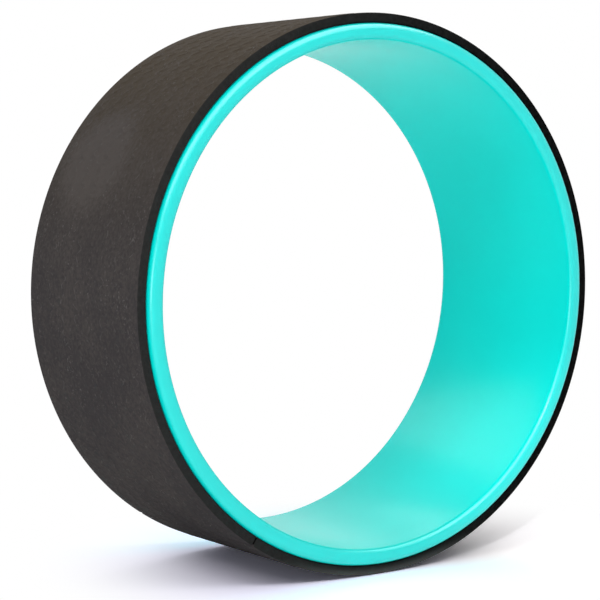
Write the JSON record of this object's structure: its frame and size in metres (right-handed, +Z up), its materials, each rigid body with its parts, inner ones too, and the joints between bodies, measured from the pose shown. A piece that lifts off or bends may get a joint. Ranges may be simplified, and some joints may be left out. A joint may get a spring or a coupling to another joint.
{
  "type": "yoga wheel",
  "caption": "Wide plastic hoop with a smooth open bore and rounded rims, wrapped in a foam tread, for rolling under the back and for balance and stretching exercises.",
  "frame": {"origin": "centre of the wheel, on its axis and midway between the two rim faces", "axes": "+Y along the wheel's axis towards the rear rim, +Z up as the wheel stands on its tread"},
  "size_m": [0.33, 0.13, 0.33],
  "materials": {
    "hoop_plastic": "smooth moulded turquoise plastic, semi-gloss",
    "adhesive": "thin black double-sided adhesive sheet",
    "tread_foam": "matte charcoal foam with a fine wavy emboss",
    "seam_glue": "dark contact glue"
  },
  "bodies": {
    "root": {"hoop": "hoop_plastic", "adhesive_sheet": "adhesive", "tread_strip": "tread_foam", "seam_glue": "seam_glue"}
  },
  "joints": []
}
